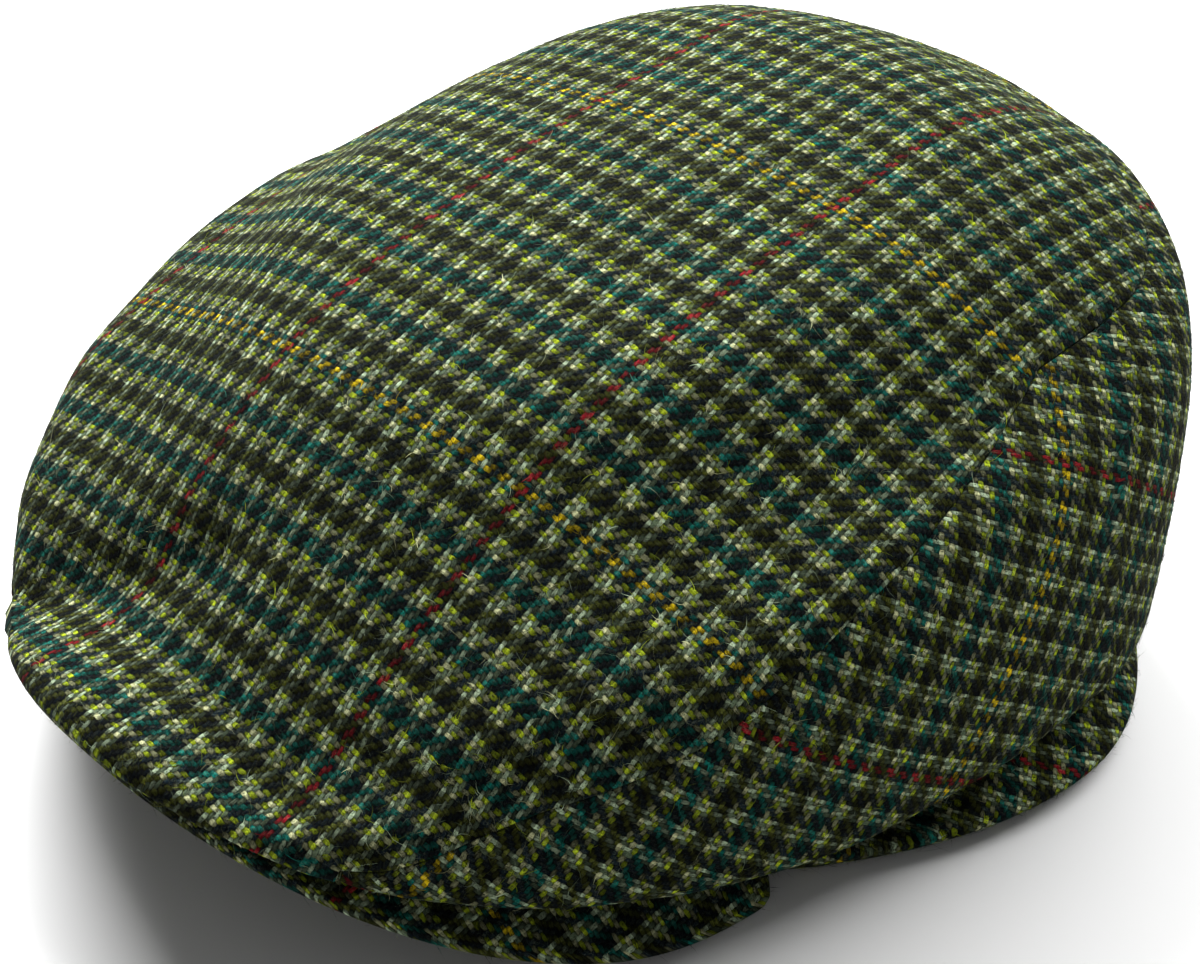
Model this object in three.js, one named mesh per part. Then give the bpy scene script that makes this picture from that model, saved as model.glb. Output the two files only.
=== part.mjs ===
// Flat cap in wool guncheck tweed, lying on its hem: millimetres, +Z up, peak towards -Y.
// A one-piece top panel runs forward over the peak, a side panel closes each side, and a
// covered board peak sits under the front. The head opening is open from below.
import * as THREE from 'three';

const CLOTH = 1.6;            // thickness of the lined-up tweed
const SEAM_GAP = 0.5;         // clear width between two panels at a seam
const FLOOR_LEVEL = 0;        // the hem lies flat here
const PEAK_CLEARANCE = 0.8;   // between the peak and the cloth that lies on it
const FRONT_PLY = 5.0;        // height of the folded cloth at the front edge, over the peak
const PEAK_END = -19;         // behind this y the peak is gone and the cloth needs no clearance
const MIDDLE_Y = -0.6;        // moves the cap so that its box is centred on the origin

// The crown as rings from the hem up. front, back: where the ring crosses the middle line.
// half: its half width, found at y = wide. z_*: its height in front, at the sides and behind.
// round_*: 2 is an ellipse, more is squarer. arc: how far round the front height is felt.
const RINGS = [
  { ring: 'hem',      front: -71,   back: 92,   half: 97,    wide: 10,    z_front: 40,  z_side: 0,     z_back: 0,    round_front: 2.2,  round_back: 2.1,  arc: 50 },
  { ring: 'rest',     front: -77,   back: 103,  half: 113,   wide: 38,    z_front: 40,  z_side: 0,     z_back: 0,    round_front: 2.0,  round_back: 2.1,  arc: 52 },
  { ring: 'roll',     front: -86,   back: 108,  half: 121.5, wide: 34,    z_front: 40,  z_side: 6,     z_back: 9,    round_front: 1.8,  round_back: 2.1,  arc: 53 },
  { ring: 'crease',   front: -123.5,back: 118,  half: 110,   wide: 46,    z_front: 39,  z_side: 14,    z_back: 20,   round_front: 2.18, round_back: 2.1,  arc: 80 },
  { ring: 'widest',   front: -130,  back: 117.5,half: 117,   wide: 39.5,  z_front: 42,  z_side: 23.5,  z_back: 47.5, round_front: 2.14, round_back: 2.1,  arc: 72 },
  { ring: 'shoulder', front: -114,  back: 132,  half: 109.5, wide: 47,    z_front: 42.5,z_side: 68.5,  z_back: 85,   round_front: 2.33, round_back: 2.15, arc: 78 },
  { ring: 'upper',    front: -70,   back: 125,  half: 90,    wide: 67.5,  z_front: 79.5,z_side: 86.5,  z_back: 101.5,round_front: 2.26, round_back: 2.1,  arc: 90 },
  { ring: 'inner',    front: -42,   back: 87.5, half: 62.5,  wide: 42,    z_front: 94,  z_side: 103,   z_back: 114.5,round_front: 2.2,  round_back: 2.2,  arc: 90 },
  { ring: 'crown',    front: 3,     back: 61,   half: 31,    wide: 33,    z_front: 106, z_side: 108.5, z_back: 114,  round_front: 2.0,  round_back: 2.0,  arc: 90 },
  { ring: 'middle',   front: 32,    back: 32,   half: 0,     wide: 32,    z_front: 111, z_side: 111,   z_back: 111,  round_front: 2.0,  round_back: 2.0,  arc: 90 },
];
const COLUMNS = Object.keys(RINGS[0]).slice(1);
const TOP_RING = RINGS.length - 1;

// Folds and dents pressed into the cloth: a line from one point to another, its width, and
// how deep it is. A negative depth is a soft ridge.
const FOLDS = [
  { fold: 'right valley over peak', from: [-47, -112, 42], to: [-10, -94, 61],  width: 9,  depth: 3.6 },
  { fold: 'left valley over peak',  from: [92, -80, 40],   to: [40, -112, 52],  width: 10, depth: 2.5 },
  { fold: 'front left pleat',       from: [72, -92, 52],   to: [88, -66, 60],   width: 6,  depth: 1.6 },
  { fold: 'right puff',             from: [-72, -90, 46],  to: [-86, -68, 50],  width: 16, depth: -3.0 },
  { fold: 'front left corner',      from: [56, -112, 34],  to: [80, -90, 24],   width: 18, depth: -1.2 },
  { fold: 'right shoulder dip',     from: [-100, 20, 84],  to: [-84, 74, 96],   width: 16, depth: 2.5 },
  { fold: 'back dip',               from: [-30, 116, 102], to: [34, 118, 102],  width: 14, depth: 2.5 },
];

// The seam between the top and a side panel, from the front corner to the middle of the back:
// ring height against the angle from the front. In front of the corner there is no side panel.
const SEAM = [
  { angle: 27,   ring: 4.02 },
  { angle: 30,   ring: 4.12 },
  { angle: 33,   ring: 4.30 },
  { angle: 37,   ring: 4.48 },
  { angle: 42,   ring: 4.60 },
  { angle: 50,   ring: 4.69 },
  { angle: 56,   ring: 4.76 },
  { angle: 60,   ring: 4.86 },
  { angle: 64,   ring: 4.99 },
  { angle: 70,   ring: 5.22 },
  { angle: 74,   ring: 5.50 },
  { angle: 78,   ring: 5.80 },
  { angle: 82,   ring: 6.00 },
  { angle: 93,   ring: 6.06 },
  { angle: 113,  ring: 6.02 },
  { angle: 180,  ring: 5.90 },
];

// The peak: a board bent to an arch across the cap, crescent-shaped from above.
const PEAK = {
  front: -127, temple: -35.4, half: 94.5, roundness: 2.15,
  join: -82, join_half: 90, join_temple: -34, join_roundness: 2.0,
  tip: 4.5, rise_edge: 36.5, rise_join: 38.5, thickness: 3.6,
};

// The front lies a little to the left, and is a little higher on that side. What lies on the
// floor stays there: the rise grows over this first height.
const FRONT_LEAN = { starts: -20, full: -110, left: 2.7, rise_per_mm: 0.023, from_height: 12 };

const TWEED = new THREE.MeshStandardMaterial({ color: 0x4a5040, roughness: 0.95, metalness: 0.0 });
const TWEED_SIDE = new THREE.MeshStandardMaterial({ color: 0x444b3c, roughness: 0.95, metalness: 0.0 });
const PEAK_CLOTH = new THREE.MeshStandardMaterial({ color: 0x2c3128, roughness: 0.95, metalness: 0.0 });

const rad = (degrees) => degrees * Math.PI / 180;
const signedPower = (value, power) => Math.sign(value) * Math.abs(value) ** power;
const clamp = (value, low, high) => Math.min(high, Math.max(low, value));
const smooth = (value) => { const t = clamp(value, 0, 1); return t * t * (3 - 2 * t); };
// the greater of two heights, rounded where they cross
const softGreater = (a, b, blend) => b + 0.5 * (a - b + Math.hypot(a - b, blend));

// A row of the ring table. Past the middle of the top the table goes on as its own mirror
// image, so the cloth runs smoothly over the middle.
function ringRow(k) {
  if (k <= TOP_RING) return RINGS[Math.max(k, 0)];
  const r = RINGS[2 * TOP_RING - k];
  return { ...r, front: r.back, back: r.front, half: -r.half, z_front: r.z_back, z_back: r.z_front };
}

// One ring's sizes at a height between rows, by a Catmull-Rom curve through the table.
function ringAt(height) {
  const h = clamp(height, 0, TOP_RING - 1e-6);
  const i = Math.floor(h);
  const t = h - i;
  const out = {};
  for (const name of COLUMNS) {
    const a = ringRow(i - 1)[name];
    const b = ringRow(i)[name];
    const c = ringRow(i + 1)[name];
    const d = ringRow(i + 2)[name];
    out[name] = 0.5 * (2 * b + (c - a) * t + (2 * a - 5 * b + 4 * c - d) * t * t
      + (3 * b - a - 3 * c + d) * t * t * t);
  }
  return out;
}

// Height of the peak's upper face over a point of the plan.
function peakTop(x, y) {
  const back = clamp((y - PEAK.front) / (PEAK.join - PEAK.front), 0, 1.4);
  const rise = PEAK.rise_edge + (PEAK.rise_join - PEAK.rise_edge) * back;
  return PEAK.tip + rise * (1 - Math.min(Math.abs(x) / PEAK.half, 1.3) ** 2);
}

// The lowest the cloth's outer face may be over the peak: on it, and folded double past its
// front edge. Behind the peak's ends there is nothing to clear.
function lowestOverPeak(x, y, height) {
  const ply = PEAK_CLEARANCE + FRONT_PLY * smooth((height - 3.1) / 1.5);
  const behind = 1 - smooth((PEAK_END - y) / 14);
  return peakTop(x, y) + ply - 40 * behind;
}

// The crown's outer face before folds: angle from the front, height in rings.
function plainCrown(angle, height) {
  const r = ringAt(height);
  const c = Math.cos(angle);
  const s = Math.sin(angle);
  const power = 2 / (c > 0 ? r.round_front : r.round_back);
  const x = r.half * signedPower(s, power);
  const y = r.wide + ((c > 0 ? r.front : r.back) - r.wide) * Math.abs(c) ** power;
  const turn = Math.abs(Math.atan2(s, c)) / rad(r.arc);
  const inFront = turn < 1 ? Math.cos(Math.PI / 2 * turn) ** 2 : 0;
  const behind = c < 0 ? c * c : 0;
  const lobed = r.z_side + (r.z_front - r.z_side) * inFront + (r.z_back - r.z_side) * behind;
  // near the middle of the top the rings are plain tilted ovals
  const tilted = r.z_side + (r.z_front - r.z_back) / 2 * c
    + ((r.z_front + r.z_back) / 2 - r.z_side) * c * c;
  let z = lobed + (tilted - lobed) * smooth((height - 6) / 2);
  // in front the cloth lies on the peak, folded under at its edge
  if (height < 6) z = softGreater(z, lowestOverPeak(x, y, height), 1.5);
  return new THREE.Vector3(x, y, Math.max(z, FLOOR_LEVEL));
}

const normalOf = (surface, angle, height) => {
  const da = 0.01;
  const dh = 0.02;
  const low = Math.max(height - dh, 0);
  const high = Math.min(height + dh, TOP_RING - 0.02);
  const across = surface(angle + da, height).sub(surface(angle - da, height));
  const up = surface(angle, high).sub(surface(angle, low));
  return across.cross(up).normalize();
};

const foldLines = FOLDS.map((f) => ({
  line: new THREE.Line3(new THREE.Vector3(...f.from), new THREE.Vector3(...f.to)),
  width: f.width, depth: f.depth,
}));

// The crown's outer face with its folds pressed in.
function crown(angle, height) {
  const p = plainCrown(angle, height);
  let depth = 0;
  const near = new THREE.Vector3();
  for (const f of foldLines) {
    f.line.closestPointToPoint(p, true, near);
    depth += f.depth * Math.exp(-near.distanceToSquared(p) / (f.width * f.width));
  }
  if (Math.abs(depth) < 0.01 || height > TOP_RING - 0.5) return p;
  const free = smooth((height - 1.2) / 1.2);
  p.addScaledVector(normalOf(plainCrown, angle, height), -depth * free);
  if (height < 6) p.z = Math.max(p.z, lowestOverPeak(p.x, p.y, height));
  return p;
}

// Ring height of the seam at an angle (either side), read from the table.
function seamHeight(angle) {
  const a = Math.abs(Math.atan2(Math.sin(angle), Math.cos(angle))) * 180 / Math.PI;
  if (a <= SEAM[0].angle) return SEAM[0].ring;
  const k = Math.max(1, SEAM.findIndex((row) => row.angle >= a - 1e-9));
  const low = SEAM[k - 1];
  const high = SEAM[k];
  return low.ring + (high.ring - low.ring) * (a - low.angle) / (high.angle - low.angle);
}

// A closed cloth wall over a grid of outer points: the inner face is one cloth behind, and
// every edge that only one cell uses is closed. Columns may wrap round, and a pole closes the
// last row. Cells below a column's first row are left out.
function wall(columns, rows, outer, normal, { wraps = false, pole = null, firstRow = () => 0 } = {}) {
  const position = [];
  const index = [];
  const last = wraps ? columns : columns - 1;
  const push = (p) => { position.push(p.x, p.y, p.z); return position.length / 3 - 1; };
  const face = [];
  const back = [];
  for (let j = 0; j < rows; j += 1) {
    face.push([]);
    back.push([]);
    for (let i = 0; i < columns; i += 1) {
      if (j < firstRow(i)) continue;
      const p = outer(i, j);
      const n = normal(i, j);
      face[j][i] = push(p);
      back[j][i] = push(p.clone().addScaledVector(n, -CLOTH));
    }
  }
  const quad = (a, b, c, d) => index.push(a, b, c, a, c, d);
  const cell = (i, j) => {
    if (j < 0 || j >= rows - 1 || (!wraps && (i < 0 || i >= last))) return false;
    const a = (i + columns) % columns;
    return j >= firstRow(a) && j >= firstRow((a + 1) % columns);
  };
  for (let j = 0; j < rows - 1; j += 1) {
    for (let i = 0; i < last; i += 1) {
      if (!cell(i, j)) continue;
      const k = (i + 1) % columns;
      quad(face[j][i], face[j][k], face[j + 1][k], face[j + 1][i]);
      quad(back[j][i], back[j + 1][i], back[j + 1][k], back[j][k]);
      if (!cell(i, j - 1)) quad(face[j][i], back[j][i], back[j][k], face[j][k]);
      if (!cell(i, j + 1) && !(pole && j === rows - 2)) {
        quad(face[j + 1][i], face[j + 1][k], back[j + 1][k], back[j + 1][i]);
      }
      if (!cell(i - 1, j)) quad(face[j][i], face[j + 1][i], back[j + 1][i], back[j][i]);
      if (!cell(i + 1, j)) quad(face[j][k], back[j][k], back[j + 1][k], face[j + 1][k]);
    }
  }
  if (pole) {
    const top = push(pole);
    const under = push(pole.clone().add(new THREE.Vector3(0, 0, -CLOTH)));
    for (let i = 0; i < last; i += 1) {
      const k = (i + 1) % columns;
      index.push(face[rows - 1][i], face[rows - 1][k], top);
      index.push(back[rows - 1][k], back[rows - 1][i], under);
    }
  }
  const geometry = new THREE.BufferGeometry();
  geometry.setAttribute('position', new THREE.Float32BufferAttribute(position, 3));
  geometry.setIndex(index);
  geometry.computeVertexNormals();
  return geometry;
}

// A point of the seam moved along the cloth, away from the seam, by half the seam gap.
function besideSeam(angle, towardsTop) {
  const h = seamHeight(angle);
  const step = rad(0.4);
  const before = crown(angle - step, seamHeight(angle - step));
  const after = crown(angle + step, seamHeight(angle + step));
  const along = after.sub(before).normalize();
  const n = normalOf(plainCrown, angle, h);
  const side = n.clone().cross(along).normalize();
  return crown(angle, h).addScaledVector(side, (towardsTop ? 1 : -1) * SEAM_GAP / 2);
}

const evenSteps = (from, to, steps) => (
  Array.from({ length: steps + 1 }, (_, i) => from + (to - from) * i / steps)
);

// Top panel: all round above the seam, and down to the hem between the front corners.
const corner = SEAM[0].angle;
const sweep = [
  29.5, 32, 35, 38, 42, 46, 50, 54, 58, 62, 66, 70, 75, 80, 86, 92, 99, 106, 113, 120, 127, 134,
  141, 148, 155, 162, 168, 174,
];
const topAngles = [
  ...evenSteps(-corner, corner, 16), ...sweep, 180, ...sweep.slice().reverse().map((a) => 360 - a),
].map(rad);
const halfTurn = (angle) => Math.atan2(Math.sin(angle), Math.cos(angle));
const inFront = (angle) => Math.abs(halfTurn(angle)) <= rad(corner) + 1e-9;
// ring heights between the hem and the front corner, which only the front has
const TUCKED_ROWS = [0, 1, 2, 2.7, 3.1, 3.45, 3.75];
// the rows above, as shares of the way from the seam to the last ring round the middle
const TOP_SHARES = [0, 0.07, 0.14, 0.21, 0.28, 0.36, 0.44, 0.52, 0.6, 0.68, 0.76, 0.84, 0.92, 1];
const LAST_TOP_RING = 8.65;
const topHeight = (angle, j) => {
  if (j < TUCKED_ROWS.length) return TUCKED_ROWS[j];
  const low = seamHeight(halfTurn(angle));
  return low + (LAST_TOP_RING - low) * TOP_SHARES[j - TUCKED_ROWS.length];
};
const topPoint = (i, j) => {
  const angle = topAngles[i];
  if (j === TUCKED_ROWS.length && !inFront(angle)) return besideSeam(halfTurn(angle), true);
  return crown(angle, topHeight(angle, j));
};
const topNormal = (i, j) => normalOf(crown, topAngles[i], topHeight(topAngles[i], j));

const crownTop = new THREE.Mesh(
  wall(topAngles.length, TUCKED_ROWS.length + TOP_SHARES.length, topPoint, topNormal, {
    wraps: true,
    pole: crown(0, TOP_RING),
    firstRow: (i) => (inFront(topAngles[i]) ? 0 : TUCKED_ROWS.length),
  }),
  TWEED,
);
crownTop.name = 'crown_top_panel';

// A side panel: from its front corner to the middle of the back, between hem and seam. Its
// lower rows follow the rings, and the rest share out the way up to the seam.
const LOW_ROWS = [0, 0.5, 1, 1.4, 1.8, 2.2, 2.6, 3, 3.35, 3.7];
const HIGH_SHARES = [0.25, 0.5, 0.75, 1];
const cornerGap = 0.35;
const backGap = 0.25;
const sideAngles = [corner + cornerGap, ...sweep, 180 - backGap].map(rad);
const sideHeight = (angle, j) => {
  if (j < LOW_ROWS.length) return LOW_ROWS[j];
  const low = LOW_ROWS[LOW_ROWS.length - 1];
  return low + (seamHeight(angle) - low) * HIGH_SHARES[j - LOW_ROWS.length];
};
function sidePanel(hand) {
  const count = sideAngles.length;
  const rows = LOW_ROWS.length + HIGH_SHARES.length;
  const angleAt = (i) => (hand > 0 ? sideAngles[i] : -sideAngles[count - 1 - i]);
  const outer = (i, j) => {
    const angle = angleAt(i);
    if (j === rows - 1) return besideSeam(angle, false);
    return crown(angle, sideHeight(angle, j));
  };
  const normal = (i, j) => normalOf(crown, angleAt(i), sideHeight(angleAt(i), j));
  return new THREE.Mesh(wall(count, rows, outer, normal), TWEED_SIDE);
}
const sideLeft = sidePanel(1);
sideLeft.name = 'side_panel_left';
const sideRight = sidePanel(-1);
sideRight.name = 'side_panel_right';

// The peak: stations from end to end, each a board section with a rounded outer edge. Past
// 88 degrees the section shrinks and moves on a little, which rounds the end.
const PEAK_ENDS = [
  { turn: 88, size: 1.0,  on: 0 },
  { turn: 88, size: 0.86, on: 1.1 },
  { turn: 88, size: 0.5,  on: 2.0 },
];
const peakStations = [
  ...PEAK_ENDS.slice().reverse().map((row) => ({ ...row, turn: -row.turn })),
  ...evenSteps(-84, 84, 42).map((turn) => ({ turn, size: 1, on: 0 })),
  ...PEAK_ENDS,
];
const PEAK_ACROSS = 6;
function peakGeometry() {
  const position = [];
  const index = [];
  const half = PEAK.thickness / 2;
  const profile = [];
  for (let k = 0; k <= PEAK_ACROSS; k += 1) profile.push({ reach: k / PEAK_ACROSS, bulge: 0, up: 1 });
  for (let k = 1; k < 5; k += 1) {
    const a = Math.PI * k / 5;
    profile.push({ reach: 1, bulge: Math.sin(a), up: Math.cos(a) });
  }
  for (let k = PEAK_ACROSS; k >= 0; k -= 1) profile.push({ reach: k / PEAK_ACROSS, bulge: 0, up: -1 });
  const ring = profile.length;
  for (const station of peakStations) {
    const a = rad(station.turn);
    const outX = PEAK.half * signedPower(Math.sin(a), 2 / PEAK.roundness);
    const outY = PEAK.temple + (PEAK.front - PEAK.temple) * Math.cos(a) ** (2 / PEAK.roundness);
    const inX = PEAK.join_half * signedPower(Math.sin(a), 2 / PEAK.join_roundness);
    const inY = PEAK.join_temple + (PEAK.join - PEAK.join_temple) * Math.cos(a) ** (2 / PEAK.join_roundness);
    const inner = new THREE.Vector2(inX, inY);
    const outer = new THREE.Vector2(outX, outY);
    const away = outer.clone().sub(inner).normalize();
    for (const q of profile) {
      const reach = 0.5 + (q.reach - 0.5) * station.size;
      const plan = inner.clone().lerp(outer, reach);
      plan.addScaledVector(away, q.bulge * half * station.size);
      plan.y += station.on;
      const slope = -2 * PEAK.rise_edge * plan.x / (PEAK.half * PEAK.half);
      const lean = Math.hypot(1, slope);
      const middle = peakTop(plan.x, plan.y) - half * lean;
      const up = q.up * half * station.size;
      position.push(plan.x - up * slope / lean, plan.y, middle + up / lean);
    }
  }
  for (let i = 0; i < peakStations.length - 1; i += 1) {
    for (let k = 0; k < ring; k += 1) {
      const n = (k + 1) % ring;
      const a = i * ring + k;
      const b = i * ring + n;
      const c = (i + 1) * ring + n;
      const d = (i + 1) * ring + k;
      index.push(a, b, c, a, c, d);
    }
  }
  const end = (peakStations.length - 1) * ring;
  for (let k = 1; k < ring - 1; k += 1) {
    index.push(0, k + 1, k);
    index.push(end, end + k, end + k + 1);
  }
  const geometry = new THREE.BufferGeometry();
  geometry.setAttribute('position', new THREE.Float32BufferAttribute(position, 3));
  geometry.setIndex(index);
  geometry.computeVertexNormals();
  return geometry;
}
const peak = new THREE.Mesh(peakGeometry(), PEAK_CLOTH);
peak.name = 'peak';

function leanFront(geometry) {
  const position = geometry.attributes.position;
  const lean = FRONT_LEAN;
  for (let i = 0; i < position.count; i += 1) {
    const x = position.getX(i);
    const z = position.getZ(i);
    const share = smooth((lean.starts - position.getY(i)) / (lean.starts - lean.full));
    position.setX(i, x + lean.left * share);
    position.setZ(i, z + lean.rise_per_mm * x * share * smooth(z / lean.from_height));
  }
  geometry.computeVertexNormals();
}

const flatCap = new THREE.Group();
for (const piece of [crownTop, sideLeft, sideRight, peak]) {
  leanFront(piece.geometry);
  piece.geometry.translate(0, MIDDLE_Y, 0);
  flatCap.add(piece);
}
export default flatCap;
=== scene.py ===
import math
import bpy
import numpy as np
from mathutils import Matrix


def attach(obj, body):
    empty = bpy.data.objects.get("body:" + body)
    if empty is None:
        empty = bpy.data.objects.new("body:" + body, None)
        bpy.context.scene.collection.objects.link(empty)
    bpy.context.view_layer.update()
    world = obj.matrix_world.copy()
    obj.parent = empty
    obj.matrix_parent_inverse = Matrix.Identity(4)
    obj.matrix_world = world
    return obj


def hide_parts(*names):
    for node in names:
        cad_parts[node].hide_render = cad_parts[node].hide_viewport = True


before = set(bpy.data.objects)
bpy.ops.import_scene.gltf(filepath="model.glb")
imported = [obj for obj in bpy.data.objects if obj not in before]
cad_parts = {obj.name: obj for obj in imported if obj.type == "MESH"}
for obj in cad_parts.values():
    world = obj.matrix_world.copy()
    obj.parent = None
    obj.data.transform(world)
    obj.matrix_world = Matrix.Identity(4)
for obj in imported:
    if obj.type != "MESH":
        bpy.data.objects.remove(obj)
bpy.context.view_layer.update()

# The room: a plain pale floor under the cap, a soft lamp high on the cap's right, a larger one
# high behind it, and a camera that looks down on it from its left front.
MM = 0.001
WORLD_LIGHT = 0.26
FLOOR_SHADE = 0.66
FLOOR_SIDE = 8.0
world = bpy.data.worlds.new("room")
world.use_nodes = True
background = world.node_tree.nodes["Background"]
background.inputs["Color"].default_value = (1.0, 1.0, 1.0, 1.0)
background.inputs["Strength"].default_value = WORLD_LIGHT
bpy.context.scene.world = world
bpy.context.scene.view_settings.view_transform = "Standard"

floor_mesh = bpy.data.meshes.new("floor")
half_floor = FLOOR_SIDE / 2
floor_corners = [(x * half_floor, y * half_floor, 0) for x, y in ((-1, -1), (1, -1), (1, 1), (-1, 1))]
floor_mesh.from_pydata(floor_corners, [], [(0, 1, 2, 3)])
floor = bpy.data.objects.new("floor", floor_mesh)
bpy.context.collection.objects.link(floor)
paper = bpy.data.materials.new("pale_floor")
paper.use_nodes = True
paper_shader = paper.node_tree.nodes["Principled BSDF"]
paper_shader.inputs["Base Color"].default_value = (FLOOR_SHADE, FLOOR_SHADE, FLOOR_SHADE, 1)
paper_shader.inputs["Roughness"].default_value = 0.9
floor_mesh.materials.append(paper)


def lamp(name, place, aim, size, power):
    """A square soft light at place, turned towards aim, in metres and watts."""
    light = bpy.data.lights.new(name, "AREA")
    light.shape = "SQUARE"
    light.size = size
    light.energy = power
    holder = bpy.data.objects.new(name, light)
    way = np.array(aim, float) - np.array(place, float)
    way = way / np.linalg.norm(way)
    side = np.cross(way, (0, 0, 1))
    side = side / np.linalg.norm(side)
    rise = np.cross(side, way)
    rows = [(side[k], rise[k], -way[k], place[k]) for k in range(3)]
    holder.matrix_world = Matrix(rows + [(0, 0, 0, 1)])
    bpy.context.collection.objects.link(holder)


CAP_MIDDLE = (0.0, 0.0, 0.05)
lamp("key", (-1.08, 0.38, 0.92), CAP_MIDDLE, 0.9, 74.0)
lamp("back", (-0.10, 1.20, 1.30), CAP_MIDDLE, 2.0, 78.0)

# The camera stands round to the cap's left by TURN, looks down by RISE and leans by ROLL.
TURN, RISE, ROLL = math.radians(45.7), math.radians(36.3), math.radians(-0.15)
CAMERA_PLACE = (265.4, -250.6, 301.7)
level = np.array([math.cos(TURN), math.sin(TURN), 0])
back = np.array([math.sin(TURN) * math.cos(RISE), -math.cos(TURN) * math.cos(RISE), math.sin(RISE)])
upright = np.cross(back, level)
right = level * math.cos(ROLL) + upright * math.sin(ROLL)
up = upright * math.cos(ROLL) - level * math.sin(ROLL)
lens = bpy.data.cameras.new("camera")
lens.lens = 60
lens.sensor_width = 36
lens.clip_start = 0.01
camera = bpy.data.objects.new("camera", lens)
place = np.array(CAMERA_PLACE) * MM
camera.matrix_world = Matrix([(right[k], up[k], back[k], place[k]) for k in range(3)] + [(0, 0, 0, 1)])
bpy.context.collection.objects.link(camera)
bpy.context.scene.camera = camera

# The crown's form, which its three panels share: soft tweed over a hollow, sewn up from flat
# pieces and drawn down over the peak, with the folds and dents of a cap that lies on its hem.
# Millimetres, +Z up, the front at -Y. The rings run from the hem up to the middle of the top.
# front, back: where the ring crosses the middle line. half: its half width, found at y = wide.
# z_*: its height in front, at the sides and behind. round_*: 2 is an ellipse, more is squarer.
# arc: how far round, in degrees, the front height is felt.
RING_COLUMNS = (
    "front", "back", "half", "wide", "z_front", "z_side", "z_back", "round_front", "round_back", "arc",
)
RINGS = np.array([
    [-71, 92, 97, 10, 40, 0, 0, 2.2, 2.1, 50],                  # hem
    [-77, 103, 113, 38, 40, 0, 0, 2.0, 2.1, 52],                # rest
    [-86, 108, 121.5, 34, 40, 6, 9, 1.8, 2.1, 53],              # roll
    [-123.5, 118, 110, 46, 39, 14, 20, 2.18, 2.1, 80],          # crease
    [-130, 117.5, 117, 39.5, 42, 23.5, 47.5, 2.14, 2.1, 72],    # widest
    [-114, 132, 109.5, 47, 42.5, 68.5, 85, 2.33, 2.15, 78],     # shoulder
    [-70, 125, 90, 67.5, 79.5, 86.5, 101.5, 2.26, 2.1, 90],     # upper
    [-42, 87.5, 62.5, 42, 94, 103, 114.5, 2.2, 2.2, 90],        # inner
    [3, 61, 31, 33, 106, 108.5, 114, 2, 2, 90],                 # crown
    [32, 32, 0, 32, 111, 111, 111, 2, 2, 90],                   # middle
])
# Past the middle of the top, front and back change places in these columns, and so do their heights.
MIRRORED_COLUMNS = [1, 0, 2, 3, 6, 5, 4, 7, 8, 9]
MIRRORED_SIGNS = np.array([1, 1, -1, 1, 1, 1, 1, 1, 1, 1])
TOP_RING = len(RINGS) - 1
# From, to, width and depth of each fold; a negative depth is a soft ridge.
FOLDS = [
    ((-47, -112, 42), (-10, -94, 61), 9, 3.6),  # right valley over the peak
    ((92, -80, 40), (40, -112, 52), 10, 2.5),  # left valley over the peak
    ((72, -92, 52), (88, -66, 60), 6, 1.6),  # pleat at the front left
    ((-72, -90, 46), (-86, -68, 50), 16, -3.0),  # puff on the right
    ((56, -112, 34), (80, -90, 24), 18, -1.2),  # front left corner
    ((-100, 20, 84), (-84, 74, 96), 16, 2.5),  # dip in the right shoulder
    ((-30, 116, 102), (34, 118, 102), 14, 2.5),  # dip at the back
    ((94.5, -47, 15), (108.5, -2, 11.5), 4.5, 6.0),  # crease above the hem, left
    ((-94.5, -47, 15), (-108.5, -2, 11.5), 4.5, 6.0),  # crease above the hem, right
]
# Angle from the front against ring height, for the seam between the top and a side panel.
SEAM = np.array([
    (27, 4.02), (30, 4.12), (33, 4.30), (37, 4.48), (42, 4.60), (50, 4.69), (56, 4.76), (60, 4.86),
    (64, 4.99), (70, 5.22), (74, 5.50), (78, 5.80), (82, 6.00), (93, 6.06), (113, 6.02), (180, 5.90),
])
CORNER = SEAM[0, 0]
# The peak that the front lies on, a crescent from above: its outer edge, then its join under the
# crown, then its height at the ends, how much higher its middle is, and its thickness.
PEAK = {
    "front": -127, "temple": -35.4, "half": 94.5, "roundness": 2.15,
    "join": -82, "join_half": 90, "join_temple": -34, "join_roundness": 2.0,
    "tip": 4.5, "rise_edge": 36.5, "rise_join": 38.5, "thickness": 3.6,
}
PEAK_CLEARANCE = 0.8  # between the peak and the cloth that lies on it
FRONT_PLY = 5.0  # height of the folded cloth at the front edge, over the peak
PLY_FROM, PLY_OVER = 3.1, 1.5  # the ring where the folded cloth starts, and over how many it grows
PEAK_END, PEAK_FADE = -19, 14  # behind this y the peak is gone; the clearance fades over this length
PEAK_DROP = 40  # how far the clearance sinks there
SOFT_REST = 1.5  # how softly the cloth settles onto the peak
OVER_PEAK = 6  # rings below this one keep clear of the peak
FRONT_LEAN = {"starts": -20, "over": 90, "left": 2.7, "rise_per_mm": 0.023, "from_height": 12}
MIDDLE_Y = -0.6  # moves the cap so that its box is centred on the origin


def smooth(value):
    """0 up to 0, 1 from 1 on, smooth between them."""
    t = np.clip(value, 0, 1)
    return t * t * (3 - 2 * t)


def signed_power(value, power):
    return np.sign(value) * np.abs(value) ** power


def unit(v):
    return v / np.maximum(np.linalg.norm(v, axis=-1, keepdims=True), 1e-9)


def ring_row(k):
    """Rows of the table. Past the middle of the top it goes on as its own mirror image."""
    row = RINGS[np.clip(np.where(k > TOP_RING, 2 * TOP_RING - k, k), 0, TOP_RING)]
    mirrored = row[..., MIRRORED_COLUMNS] * MIRRORED_SIGNS
    return np.where((k > TOP_RING)[..., None], mirrored, row)


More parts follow.
